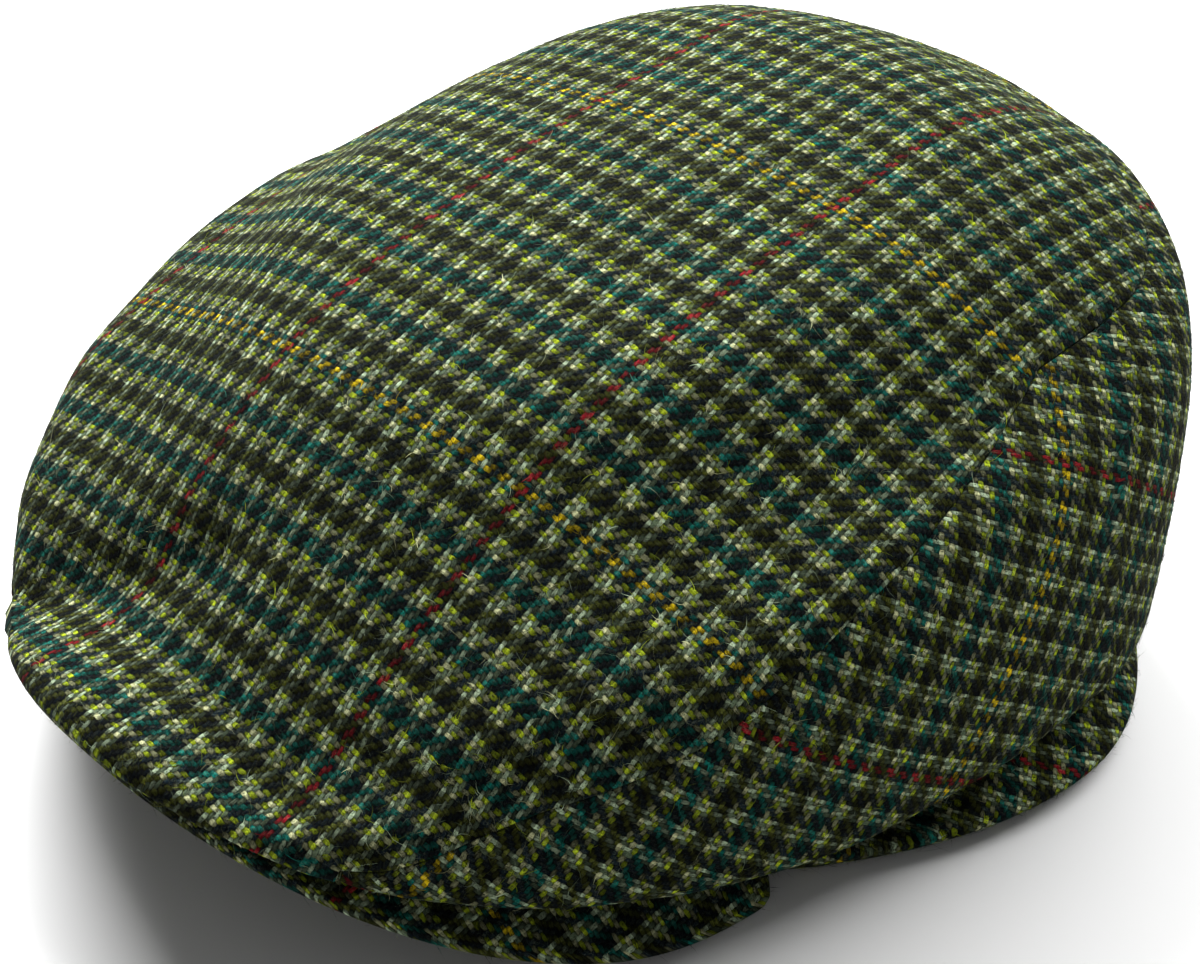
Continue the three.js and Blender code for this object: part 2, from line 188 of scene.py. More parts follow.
def ring_at(height):
    """The table's columns at heights between its rows, on a smooth curve through them."""
    h = np.clip(height, 0, TOP_RING - 1e-6)
    i = np.floor(h).astype(int)
    t = (h - i)[..., None]
    a, b, c, d = ring_row(i - 1), ring_row(i), ring_row(i + 1), ring_row(i + 2)
    return 0.5 * (2 * b + (c - a) * t + (2 * a - 5 * b + 4 * c - d) * t**2 + (3 * b - a - 3 * c + d) * t**3)


def peak_top(x, y):
    """Height of the peak's upper face over a point of the plan."""
    behind = np.clip((y - PEAK["front"]) / (PEAK["join"] - PEAK["front"]), 0, 1.4)
    rise = PEAK["rise_edge"] + (PEAK["rise_join"] - PEAK["rise_edge"]) * behind
    return PEAK["tip"] + rise * (1 - np.minimum(np.abs(x) / PEAK["half"], 1.3) ** 2)


def lowest_over_peak(x, y, height):
    """The lowest that the crown's outer face may be: on the peak, and folded double above it."""
    ply = PEAK_CLEARANCE + FRONT_PLY * smooth((height - PLY_FROM) / PLY_OVER)
    return peak_top(x, y) + ply - PEAK_DROP * (1 - smooth((PEAK_END - y) / PEAK_FADE))


def plain_crown(angle, height):
    """The crown's outer face before its folds: angle from the front, height in rings."""
    angle, height = np.broadcast_arrays(np.asarray(angle, float), np.asarray(height, float))
    ring = dict(zip(RING_COLUMNS, np.moveaxis(ring_at(height), -1, 0)))
    z_front, z_side, z_back = ring["z_front"], ring["z_side"], ring["z_back"]
    c, s = np.cos(angle), np.sin(angle)
    power = 2 / np.where(c > 0, ring["round_front"], ring["round_back"])
    x = ring["half"] * signed_power(s, power)
    y = ring["wide"] + (np.where(c > 0, ring["front"], ring["back"]) - ring["wide"]) * np.abs(c) ** power
    turn = np.abs(np.arctan2(s, c)) / np.radians(ring["arc"])
    in_front = np.where(turn < 1, np.cos(np.pi / 2 * np.minimum(turn, 1)) ** 2, 0)
    behind = np.where(c < 0, c * c, 0)
    # low down the heights change in lobes round the ring, and near the top the ring only tilts
    lobed = z_side + (z_front - z_side) * in_front + (z_back - z_side) * behind
    tilted = z_side + (z_front - z_back) / 2 * c + ((z_front + z_back) / 2 - z_side) * c * c
    z = lobed + (tilted - lobed) * smooth((height - 6) / 2)
    low = lowest_over_peak(x, y, height)
    z = np.where(height < OVER_PEAK, low + 0.5 * (z - low + np.hypot(z - low, SOFT_REST)), z)
    return np.stack([x, y, np.maximum(z, 0)], -1)


def normal_of(surface, angle, height):
    """Outward normals of surface, a function of angle and height, from points close by."""
    across = surface(angle + 0.01, height) - surface(angle - 0.01, height)
    high = np.minimum(height + 0.02, TOP_RING - 0.02)
    rise = surface(angle, high) - surface(angle, np.maximum(height - 0.02, 0))
    return unit(np.cross(across, rise))


def press_in(p, folds):
    """How deep each point of p is pressed in by the folds."""
    depth = np.zeros(p.shape[:-1])
    for start, end, width, deep in folds:
        start, way = np.array(start, float), np.subtract(end, start).astype(float)
        along = np.clip(((p - start) @ way) / (way @ way), 0, 1)
        away = p - (start + along[..., None] * way)
        depth += deep * np.exp(-(away**2).sum(-1) / width**2)
    return depth


def crown(angle, height):
    """The crown's outer face with its folds pressed in."""
    angle, height = np.broadcast_arrays(np.asarray(angle, float), np.asarray(height, float))
    p = plain_crown(angle, height)
    depth = press_in(p, FOLDS) * smooth((height - 1.2) / 1.2)
    depth = np.where(height > TOP_RING - 0.5, 0, depth)
    p = p - normal_of(plain_crown, angle, height) * depth[..., None]
    low = lowest_over_peak(p[..., 0], p[..., 1], height)
    p[..., 2] = np.where(height < OVER_PEAK, np.maximum(p[..., 2], low), p[..., 2])
    return p


def seam_height(angle):
    """Ring height of the seam, the same on both sides."""
    half_turn = np.abs((np.asarray(angle) + np.pi) % (2 * np.pi) - np.pi)
    return np.interp(np.degrees(half_turn), SEAM[:, 0], SEAM[:, 1])


def lean_front(p):
    """The front lies a little to the left and higher there; then the cap is centred."""
    share = smooth((FRONT_LEAN["starts"] - p[..., 1]) / FRONT_LEAN["over"])
    lifted = smooth(p[..., 2] / FRONT_LEAN["from_height"])
    q = p.copy()
    q[..., 0] += FRONT_LEAN["left"] * share
    q[..., 1] += MIDDLE_Y
    q[..., 2] += FRONT_LEAN["rise_per_mm"] * p[..., 0] * share * lifted
    return q


# The lie of the threads: tweed is woven flat, cut to each panel's shape and sewn, so its threads
# bend as the panel does. A net over each panel is relaxed in the plane until its links keep
# their lengths, and ends and picks are counted across that flat shape.
END_PITCH, PICK_PITCH = 0.826, 0.951


def net_links(used, wraps):
    """Pairs of net points that are joined: along rows, along columns and both diagonals."""
    index = np.arange(used.size).reshape(used.shape)
    beside = np.roll(index, -1, axis=1) if wraps else index[:, 1:]
    here = index if wraps else index[:, :-1]
    pairs = [(here, beside), (index[:-1], index[1:]), (here[:-1], beside[1:]), (beside[:-1], here[1:])]
    pairs = np.concatenate([np.stack([a.ravel(), b.ravel()], 1) for a, b in pairs])
    return pairs[used.ravel()[pairs].all(axis=1)]


def flatten(points, flat, links, rounds=3000, pull=1.6):
    """Moves the points of flat until the links are as long as between the points in space."""
    rest = np.linalg.norm(points[links[:, 0]] - points[links[:, 1]], axis=1)
    ends = np.concatenate([links[:, 0], links[:, 1]])
    count = np.maximum(np.bincount(ends, minlength=len(flat)), 1)
    for _ in range(rounds):
        way = flat[links[:, 1]] - flat[links[:, 0]]
        length = np.linalg.norm(way, axis=1)
        move = way * (0.5 * (1 - rest / np.maximum(length, 1e-6)))[:, None]
        both = np.concatenate([move, -move])
        for k in range(2):
            flat[:, k] += pull * np.bincount(ends, both[:, k], minlength=len(flat)) / count
    return flat


class Threads:
    """End and pick counts over one panel. Its net has rows at the tucked heights, which only
    the columns marked in front have, and then rows at shares of the way from low to high."""

    def __init__(self, angles, tucked, in_front, low, high, shares, wraps, turn, end_at, pick_at):
        self.angles, self.tucked, self.low, self.high, self.shares = angles, tucked, low, high, shares
        tucked_part = np.broadcast_to(tucked[:, None], (len(tucked), len(angles)))
        height = np.concatenate([tucked_part, low + (high - low) * shares[:, None]])
        used = np.ones(height.shape, bool)
        used[: len(tucked)] = in_front
        self.net = lean_front(crown(np.broadcast_to(angles, height.shape), height))
        net = self.net[:, :-1] if wraps else self.net
        used = used[:, :-1] if wraps else used
        columns = net.shape[1]
        links = net_links(used, wraps)
        if wraps:
            last = np.arange(used.size - columns, used.size)
            links = np.concatenate([links, np.stack([last[: columns // 2], last[columns // 2:]], 1)])
            flat = net[..., :2] - (0, MIDDLE_Y)
            outward = unit(flat[len(tucked)] - flat[len(tucked) + 2])
            steps = np.linalg.norm(np.diff(net, axis=0), axis=2)
            for k in range(len(tucked) - 1, -1, -1):
                flat[k] = flat[k + 1] + outward * steps[k][:, None]
        else:
            middle = len(shares) // 2
            along = np.linalg.norm(np.diff(net[middle], axis=0), axis=1)
            along = np.concatenate([[0], np.cumsum(along)])
            rise = np.cumsum(np.linalg.norm(np.diff(net, axis=0), axis=2), axis=0)
            rise = np.concatenate([np.zeros((1, columns)), rise])
            flat = np.stack([np.broadcast_to(along, rise.shape), rise - rise[middle]], -1)
        flat = flatten(net.reshape(-1, 3), flat.reshape(-1, 2).copy(), links).reshape(-1, columns, 2)
        if wraps:
            flat = np.concatenate([flat, flat[:, :1]], axis=1)
        c, s = math.cos(turn), math.sin(turn)
        ends = (flat[..., 0] * c - flat[..., 1] * s) / END_PITCH + end_at
        picks = (flat[..., 0] * s + flat[..., 1] * c) / PICK_PITCH + pick_at
        self.counts = np.stack([ends, picks], -1)

    def at(self, angle, height):
        """(ends, picks) at points of the panel, by how near each lies to the net's points."""
        low = np.interp(angle, self.angles, self.low)
        high = np.interp(angle, self.angles, self.high)
        first = len(self.tucked)
        share = (height - low) / (high - low)
        rise = first + np.interp(share, self.shares, np.arange(len(self.shares)))
        if first:
            steps = np.append(self.tucked, self.low.min())
            rise = np.where(height < low, np.interp(height, steps, np.arange(first + 1)), rise)
        across = np.interp(angle, self.angles, np.arange(len(self.angles)))
        i = np.clip(np.floor(across).astype(int), 0, len(self.angles) - 2)
        j = np.clip(np.floor(rise).astype(int), 0, len(self.net) - 2)
        a = (across - i)[..., None]

        def on_row(field, row):
            return field[row, i] * (1 - a) + field[row, i + 1] * a

        here = lean_front(crown(angle, height))
        from_lower = np.linalg.norm(here - on_row(self.net, j), axis=-1)
        from_upper = np.linalg.norm(here - on_row(self.net, j + 1), axis=-1)
        whole = np.linalg.norm(on_row(self.net, j + 1) - on_row(self.net, j), axis=-1)
        below = (height < self.tucked[0]) if first else (share < 0)
        b = np.where(below, -from_lower / whole, from_lower / (from_lower + from_upper))[..., None]
        return on_row(self.counts, j) * (1 - b) + on_row(self.counts, j + 1) * b


# The tweed: a 2 and 2 twill in woollen yarn, with a guncheck. In the warp, runs of navy turn
# with pale blue and grey. In the weft, teal or olive turns with cream and chartreuse. Thin red
# and gold lines cross it, 80 ends and 96 picks apart.
YARN = {
    "navy": (0.003, 0.007, 0.011),
    "pale": (0.240, 0.305, 0.200),
    "grey": (0.060, 0.084, 0.050),
    "red": (0.155, 0.004, 0.009),
    "teal": (0.002, 0.086, 0.067),
    "olive": (0.046, 0.053, 0.006),
    "cream": (0.325, 0.335, 0.180),
    "chartreuse": (0.27, 0.35, 0.012),
    "gold": (0.47, 0.345, 0.004),
}
RED_EVERY, GOLD_EVERY = 80.0, 96.0
END_CYCLE = ("navy", "navy", "pale", "grey", "pale", "grey", "navy", "navy")
LIGHT_PICKS = ("cream", "chartreuse", "cream", "chartreuse")
PICK_CYCLE = ("teal",) * 4 + LIGHT_PICKS + ("olive",) * 4 + LIGHT_PICKS
STRAY_PALE, STRAY_DARK, CURLED = (0.12, 0.14, 0.07), (0.006, 0.010, 0.006), (0.17, 0.19, 0.12)
BUMP_DEPTH = 0.30


class Wire:
    """A number in a material's node tree, so that sums are written as sums."""

    def __init__(self, tree, socket):
        self.tree, self.socket = tree, socket

    def math(self, operation, *others):
        node = self.tree.nodes.new("ShaderNodeMath")
        node.operation = operation
        for slot, value in zip(node.inputs, (self,) + others):
            if isinstance(value, Wire):
                self.tree.links.new(value.socket, slot)
            else:
                slot.default_value = value
        return Wire(self.tree, node.outputs[0])

    def __add__(self, other):
        return self.math("ADD", other)

    def __sub__(self, other):
        return self.math("SUBTRACT", other)

    def __mul__(self, other):
        return self.math("MULTIPLY", other)

    def floor(self):
        return self.math("FLOOR")

    def cycle(self, length):
        return self.math("FLOORED_MODULO", length)

    def step(self, low, high):
        """0 below low, 1 above high, smooth between them."""
        node = self.tree.nodes.new("ShaderNodeMapRange")
        node.interpolation_type = "SMOOTHSTEP"
        self.tree.links.new(self.socket, node.inputs["Value"])
        node.inputs["From Min"].default_value = low
        node.inputs["From Max"].default_value = high
        return Wire(self.tree, node.outputs["Result"])


def noise(x, y, z, scale=1.0, detail=2.0):
    """Noise from -1 to 1 over three numbers."""
    tree = x.tree
    join = tree.nodes.new("ShaderNodeCombineXYZ")
    for slot, value in zip(join.inputs, (x, y, z)):
        if isinstance(value, Wire):
            tree.links.new(value.socket, slot)
        else:
            slot.default_value = value
    node = tree.nodes.new("ShaderNodeTexNoise")
    node.inputs["Scale"].default_value = scale
    node.inputs["Detail"].default_value = detail
    tree.links.new(join.outputs[0], node.inputs["Vector"])
    return Wire(tree, node.outputs["Fac"]) * 2.0 - 1.0


def scatter(x, y):
    """A number from -1 to 1 that differs for each pair of whole numbers."""
    tree = x.tree
    join = tree.nodes.new("ShaderNodeCombineXYZ")
    tree.links.new(x.socket, join.inputs[0])
    tree.links.new(y.socket, join.inputs[1])
    node = tree.nodes.new("ShaderNodeTexWhiteNoise")
    tree.links.new(join.outputs[0], node.inputs["Vector"])
    return Wire(tree, node.outputs["Value"]) * 2.0 - 1.0


def mix(tree, share, a, b):
    """Colour socket between a and b, each a socket or a colour."""
    node = tree.nodes.new("ShaderNodeMix")
    node.data_type = "RGBA"
    # a mix node's sockets for colours are its inputs 6 and 7 and its output 2
    for slot, value in ((node.inputs[0], share.socket), (node.inputs[6], a), (node.inputs[7], b)):
        if isinstance(value, bpy.types.NodeSocket):
            tree.links.new(value, slot)
        else:
            slot.default_value = (*value, 1.0)
    return node.outputs[2]


def yarn_cycle(count, names):
    """Colour of the thread with this count, from the names of one cycle."""
    node = count.tree.nodes.new("ShaderNodeValToRGB")
    node.color_ramp.interpolation = "CONSTANT"
    steps = node.color_ramp.elements
    changes = [k for k, name in enumerate(names) if k == 0 or name != names[k - 1]]
    while len(steps) < len(changes):
        steps.new(0.5)
    for element, k in zip(steps, changes):
        element.position = k / len(names)
    for element, k in zip(steps, changes):
        element.color = (*YARN[names[k]], 1.0)
    place = (count.cycle(len(names)) + 0.5) * (1 / len(names))
    count.tree.links.new(place.socket, node.inputs[0])
    return node.outputs["Color"]


def tweed(name, strength=1.0, nap=False):
    """The cloth as a material, with painted shade between its threads. The UV map counts ends across and
    picks along it.
    """
    material = bpy.data.materials.new(name)
    material.use_nodes = True
    tree = material.node_tree
    shader = tree.nodes["Principled BSDF"]
    uv = tree.nodes.new("ShaderNodeUVMap")
    uv.uv_map = "threads"
    split = tree.nodes.new("ShaderNodeSeparateXYZ")
    tree.links.new(uv.outputs[0], split.inputs[0])
    ends_straight = Wire(tree, split.outputs[0])
    picks_straight = Wire(tree, split.outputs[1])

    # hand-fed yarn never lies quite straight
    ends = ends_straight + noise(ends_straight * 0.45, picks_straight * 0.28, 3.0) * 0.48
    picks = picks_straight + noise(ends_straight * 0.28, picks_straight * 0.45, 11.0) * 0.48
    ends = ends + noise(ends_straight * 1.6, picks_straight * 1.6, 23.0) * 0.16
    picks = picks + noise(ends_straight * 1.6, picks_straight * 1.6, 37.0) * 0.16

    end = (ends + 0.05).floor()
    pick = (picks + 0.5).floor()
    off_end = ends - end - 0.45
    off_pick = picks - pick

    # each thread is round, and rises and falls over two and under two
    quarter = math.pi / 2
    end_place = picks - end - 0.42
    pick_place = ends - pick - 1.95
    end_wave = (end_place * quarter).math("COSINE")
    pick_wave = (pick_place * quarter).math("COSINE")
    end_round = (off_end * off_end * -3.6 + 1.0).math("MAXIMUM", 0.0).math("SQRT")
    pick_round = (off_pick * off_pick * -3.6 + 1.0).math("MAXIMUM", 0.0).math("SQRT")

    # no two floats are alike: each one is a little higher or lower, lighter or darker
    end_float = scatter(end, ((end_place + 2.0) * 0.25).floor())
    pick_float = scatter(pick + 0.5, ((pick_place + 2.0) * 0.25).floor())

    # woollen fibres wind round the thread, so fine streaks run slantwise along it
    end_streak = noise(off_end * 6.5 + picks * 1.5, picks * 0.6, end * 3.7, 1.0, 3.0)
    pick_streak = noise(off_pick * 6.5 + ends * 1.5, ends * 0.6, pick * 5.3 + 40.0, 1.0, 3.0)
    fibres = noise(ends * 3.4, picks * 3.4, 71.0, 1.0, 4.0)
    end_height = end_wave * 0.62 + end_round * 0.5 + end_streak * 0.35 + end_float * 0.12
    pick_height = pick_wave * 0.62 + pick_round * 0.5 + pick_streak * 0.35 + pick_float * 0.12
    over = (end_height - pick_height + fibres * 1.1).step(-0.10, 0.10)
    top = end_height.math("MAXIMUM", pick_height)

    # the colours, and how each thread varies along its length
    end_colour = yarn_cycle(end, END_CYCLE)
    red = ((end + 1.0).cycle(RED_EVERY)).math("LESS_THAN", 1.5)
    end_colour = mix(tree, red, end_colour, YARN["red"])
    pick_colour = yarn_cycle(pick + 1.0, PICK_CYCLE)
    gold = pick.cycle(GOLD_EVERY).math("LESS_THAN", 1.5)
    pick_colour = mix(tree, gold, pick_colour, YARN["gold"])
    colour = mix(tree, over, pick_colour, end_colour)

    # stray fibres of the other colours in the blend, some of them curling over the threads
    blend = noise(ends * 2.2, picks * 2.2, 29.0, 1.0, 4.0)
    stray_light = blend.step(0.15, 0.60) * 0.10
    stray_dark = (blend * -1.0).step(0.0, 0.35) * 0.80
    curl = noise(ends * 0.9, picks * 0.9, 53.0, 1.0, 1.0).math("ABSOLUTE")
    curl_too = noise(ends * 1.2, picks * 1.2, 97.0, 1.0, 1.0).math("ABSOLUTE")
    hair = (curl.math("MINIMUM", curl_too) * -1.0).step(-0.045, -0.01) * 0.16
    colour = mix(tree, stray_light, colour, STRAY_PALE)
    colour = mix(tree, stray_dark, colour, STRAY_DARK)
    colour = mix(tree, hair, colour, CURLED)

    # painted shade darkens it where it is deep between threads, and it is uneven over the cloth
    painted_gap_shade = top.step(0.15, 1.2) * 0.97 + 0.03
    own_end = end_streak + end_float * 0.45
    own_pick = pick_streak + pick_float * 0.45
    streak = own_end * over + own_pick * (over * -1.0 + 1.0)
    wear = noise(ends * 0.035, picks * 0.035, 5.0, 1.0, 3.0) * 0.14 + 1.0
    # a pale float looks paler where the thread that it crosses is pale too
    beneath = mix(tree, over, end_colour, pick_colour)
    grey = tree.nodes.new("ShaderNodeRGBToBW")
    tree.links.new(beneath, grey.inputs[0])
    backed = Wire(tree, grey.outputs[0]).step(0.03, 0.16) * 0.7 + 0.3
    yarn_light = (streak * 1.1 + fibres * 0.4 + 1.0).math("MAXIMUM", 0.08)
    # the base colour's lightness, which carries the painted shade between threads
    light = painted_gap_shade * backed * yarn_light * wear * strength
    scale = tree.nodes.new("ShaderNodeVectorMath")
    scale.operation = "SCALE"
    tree.links.new(colour, scale.inputs[0])
    tree.links.new(light.socket, scale.inputs["Scale"])
    tree.links.new(scale.outputs[0], shader.inputs["Base Color"])

    shader.inputs["Roughness"].default_value = 0.95
    shader.inputs["Specular IOR Level"].default_value = 0.04
    if nap:
        return material
    bump = tree.nodes.new("ShaderNodeBump")
    bump.inputs["Strength"].default_value = 1.0
    bump.inputs["Distance"].default_value = BUMP_DEPTH * MM
    tree.links.new((top + fibres * 0.3).socket, bump.inputs["Height"])
    tree.links.new(bump.outputs[0], shader.inputs["Normal"])
    return material


# The top panel: one piece of tweed from the back of the crown, over it, and down to the front,
# where it is drawn over the peak and turned under. Its edges are turned in along the seams.
CLOTH = 1.6
SEAM_GAP = 0.22
EDGE_ROLL, EDGE_ROLL_WIDTH = 0.30, 0.5  # a seamed edge rolls in by this, over this width
SEAM_DIP, SEAM_DIP_WIDTH = 0.30, 4.5  # and the cloth beside it lies lower by this
ALLOWANCE, ALLOWANCE_WIDTH = 2.2, 2.2  # the turned-in allowance adds this thickness
LONG_RIPPLE, SHORT_RIPPLE = 0.28, 0.07


def cloth_object(name, outer, inner, count, used, wraps, pole=None):
    """A closed cloth from grids of outer and inner points, with thread counts as its UVs.
    used says which grid points exist. A pole is (outer point, inner point, thread counts)."""
    rows, columns = used.shape
    face = np.arange(rows * columns).reshape(rows, columns)
    under = face + rows * columns
    turned = (lambda grid: np.roll(grid, -1, axis=1)) if wraps else (lambda grid: grid[:, 1:])
    here = (lambda grid: grid) if wraps else (lambda grid: grid[:, :-1])
    whole = here(used)[:-1] & turned(used)[:-1] & here(used)[1:] & turned(used)[1:]

    def corners(grid):
        return here(grid)[:-1], turned(grid)[:-1], turned(grid)[1:], here(grid)[1:]

    a, b, c, d = corners(face)
    e, f, g, h = corners(under)
    below = np.zeros_like(whole)
    below[1:] = whole[:-1]
    above = np.zeros_like(whole)
    above[:-1] = whole[1:]
    if pole is not None:
        above[-1] = True
    if wraps:
        before, after = np.roll(whole, 1, axis=1), np.roll(whole, -1, axis=1)
    else:
        before, after = np.zeros_like(whole), np.zeros_like(whole)
        before[:, 1:] = whole[:, :-1]
        after[:, :-1] = whole[:, 1:]
    sides = [
        (whole, (a, b, c, d)), (whole, (e, h, g, f)), (whole & ~below, (a, e, f, b)),
        (whole & ~above, (d, c, g, h)), (whole & ~before, (a, d, h, e)), (whole & ~after, (b, f, g, c)),
    ]
    quads = np.concatenate([np.stack([v[mask] for v in quad], 1) for mask, quad in sides])
    points = np.concatenate([outer.reshape(-1, 3), inner.reshape(-1, 3)])
    counts = np.concatenate([count.reshape(-1, 2)] * 2)
    triangles = np.zeros((0, 3), int)
    if pole is not None:
        points = np.concatenate([points, [pole[0], pole[1]]])
        counts = np.concatenate([counts, [pole[2], pole[2]]])
        top = len(points) - 2
        last, last_under = face[-1], under[-1]
        fan = [np.stack([last, np.roll(last, -1), np.full(columns, top)], 1)]
        fan.append(np.stack([np.roll(last_under, -1), last_under, np.full(columns, top + 1)], 1))
        triangles = np.concatenate(fan)
    kept = np.unique(np.concatenate([quads.ravel(), triangles.ravel()]))
    renumber = np.zeros(len(points), int)
    renumber[kept] = np.arange(len(kept))
    loops = renumber[np.concatenate([quads.ravel(), triangles.ravel()])]
    sizes = np.concatenate([np.full(len(quads), 4), np.full(len(triangles), 3)])
    starts = np.concatenate([[0], np.cumsum(sizes)[:-1]])
    return mesh_object(name, points[kept] * MM, loops, starts, counts[kept][loops])


def mesh_object(name, points, loops, starts, loop_uvs):
    """A smooth mesh from its faces' corners, with a UV for each corner."""
    mesh = bpy.data.meshes.new(name)
    mesh.vertices.add(len(points))
    mesh.vertices.foreach_set("co", points.astype(np.float32).ravel())
    mesh.loops.add(len(loops))
    mesh.loops.foreach_set("vertex_index", loops.astype(np.int32))
    mesh.polygons.add(len(starts))
    mesh.polygons.foreach_set("loop_start", starts.astype(np.int32))
    layer = mesh.uv_layers.new(name="threads")
    layer.data.foreach_set("uv", loop_uvs.astype(np.float32).ravel())
    mesh.polygons.foreach_set("use_smooth", np.ones(len(starts), bool))
    mesh.update(calc_edges=True)
    mesh.validate()
    made = bpy.data.objects.new(name, mesh)
    bpy.context.collection.objects.link(made)
    return made


def ripple(p):
    """Soft unevenness of a cap that has been handled, in millimetres."""
    x, y, z = np.moveaxis(p, -1, 0)
    long_waves = np.sin(x / 13.0 + 1.3 * np.sin(y / 21.0 + 0.5)) * np.sin(y / 17.0 + 0.9 * np.sin(z / 15.0))
    short_waves = np.sin(x / 5.1 + y / 9.0 + 1.7) * np.sin(y / 6.3 - z / 5.7)
    return LONG_RIPPLE * long_waves + SHORT_RIPPLE * short_waves


def wall(angle, height, edge_distance):
    """Outer and inner points of the crown cloth. Near a seamed edge it rolls inwards, and its
    turned-in allowance makes it deeper."""
    p = crown(angle, height)
    n = normal_of(crown, angle, height)
    near = np.exp(-edge_distance / EDGE_ROLL_WIDTH)
    around = np.exp(-((edge_distance / SEAM_DIP_WIDTH) ** 2))
    drop = EDGE_ROLL * near + SEAM_DIP * around + ripple(p) * smooth((height - 2) / 1.5) * (1 - around)
    outer = p - n * drop[..., None]
    deep = CLOTH + ALLOWANCE * np.exp(-((edge_distance / ALLOWANCE_WIDTH) ** 2))
    inner = p - n * deep[..., None]
    return lean_front(outer), lean_front(inner), n


def beside_seam(angle, side):
    """Ring height of a panel's edge: half the gap above the seam line or, at side -1, below it."""
    h = seam_height(angle)
    ring_length = np.linalg.norm(crown(angle, h + 0.05) - crown(angle, h - 0.05), axis=-1) / 0.1
    return h + side * SEAM_GAP / 2 / ring_length


# ring heights of the part that is turned under in front; it shows only where it meets the peak
TUCKED = np.array([0, 0.5, 1, 1.5, 2, 2.35, 2.7, 2.9, 3.1, 3.28, 3.45, 3.6, 3.75, 3.88])
front_angles = np.linspace(-CORNER, CORNER, 61)
back_angles = np.linspace(CORNER, 360 - CORNER, 301)[1:-1]
top_angles = np.radians(np.concatenate([front_angles, back_angles]))
top_angles = (top_angles + np.pi) % (2 * np.pi) - np.pi
top_in_front = np.abs(top_angles) <= math.radians(CORNER) + 1e-6
# shares of the way from the seam to the last ring: close together at the seam
near_seam = np.array([0, 0.002, 0.005, 0.010, 0.018, 0.03])
top_shares = np.concatenate([near_seam, np.linspace(0.03, 1, 88)[1:]])
LAST_RING = 8.85  # the mesh's rings stop here, and triangles close the middle
low = np.where(top_in_front, seam_height(top_angles), beside_seam(top_angles, 1))
grid_low = np.broadcast_to(TUCKED[:, None], (len(TUCKED), len(top_angles)))
grid_high = low + (LAST_RING - low) * top_shares[:, None]
top_heights = np.concatenate([grid_low, grid_high])
top_grid = np.broadcast_to(top_angles, top_heights.shape)
top_used = np.ones(top_heights.shape, bool)
top_used[: len(TUCKED)] = top_in_front
seam_points = crown(top_angles, low)
corner_left = crown(math.radians(CORNER), SEAM[0, 1])
corner_right = crown(-math.radians(CORNER), SEAM[0, 1])
top_points = crown(top_grid, top_heights)
from_seam = np.linalg.norm(top_points - seam_points, axis=-1)
corner_distance = np.minimum(
    np.linalg.norm(top_points - corner_left, axis=-1), np.linalg.norm(top_points - corner_right, axis=-1)
)
top_edge = np.where(top_in_front, corner_distance, from_seam)
top_outer, top_inner, top_normal = wall(top_grid, top_heights, top_edge)

# its threads, by a net that is coarser than the mesh
net_angles = np.linspace(-np.pi, np.pi, 121)
net_in_front = np.abs(net_angles) <= math.radians(CORNER) + 1e-6
net_tucked = np.array([2.9, 3.4])
net_shares = np.concatenate([[0, 0.105, 0.18], np.linspace(0.235, 1, 21)])
TOP_TURN, TOP_END, TOP_PICK = math.radians(-1.41), -52.63, 60.45
net_high = np.full(len(net_angles), 8.6)
top_threads = Threads(
    net_angles, net_tucked, net_in_front, seam_height(net_angles), net_high, net_shares, True,
    TOP_TURN, TOP_END, TOP_PICK,
)
top_count = top_threads.at(top_grid, top_heights)
# over the middle of the top, where the net's columns meet, the counts go straight across
STRAIGHT_FROM = 7.9
around_middle = (top_heights > STRAIGHT_FROM) & (top_heights < 8.5)
spots = top_outer[around_middle][:, :2]
spots = np.column_stack([spots, np.ones(len(spots))])
straight = np.linalg.lstsq(spots, top_count[around_middle], rcond=None)[0]
across_middle = top_outer[..., :2] @ straight[:2] + straight[2]
share = smooth((top_heights - STRAIGHT_FROM) / 0.6)[..., None]
top_count = top_count * (1 - share) + across_middle * share
pole_place = lean_front(crown(0.0, TOP_RING - 1e-4))
pole = (pole_place, pole_place - (0, 0, CLOTH), pole_place[:2] @ straight[:2] + straight[2])
top_cloth = cloth_object("crown_top_cloth", top_outer, top_inner, top_count, top_used, True, pole)
top_cloth.data.materials.append(tweed("tweed_top"))
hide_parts("crown_top_panel")
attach(top_cloth, "root")

# The side panels: a strip of the same tweed on each side, from the front corner round to the
# middle of the back. Each is sewn to the top along its upper edge, rolls under at the hem and
# rests on it.
CORNER_GAP, BACK_GAP = 0.35, 0.25  # degrees kept clear at the front corner and the back seam
# ring heights up to the widest ring, then shares of the way to the seam, close together at it
LOW_HEIGHTS = np.concatenate([np.linspace(0, 1, 6), np.linspace(1.12, 3.9, 36)])
HIGH_SHARES = np.concatenate([np.linspace(0, 0.95, 26)[1:], [0.97, 0.985, 0.993, 0.997, 1.0]])
side_angles = np.radians(np.linspace(CORNER + CORNER_GAP, 180 - BACK_GAP, 190))
side_top = beside_seam(side_angles, -1)
side_low = np.broadcast_to(LOW_HEIGHTS[:, None], (len(LOW_HEIGHTS), len(side_angles)))
side_high = LOW_HEIGHTS[-1] + (side_top - LOW_HEIGHTS[-1]) * HIGH_SHARES[:, None]
side_heights = np.concatenate([side_low, side_high])
net_side = np.radians(np.linspace(CORNER + 0.5, 180, 60))
net_low = np.full(len(net_side), 1.2)
SIDE_TURN, SIDE_END, SIDE_PICK = math.radians(129.41), 164.85, 10.3
side_threads = Threads(
    net_side, np.zeros(0), False, net_low, seam_height(net_side), np.linspace(0, 1, 24), False,
    SIDE_TURN, SIDE_END, SIDE_PICK,
)


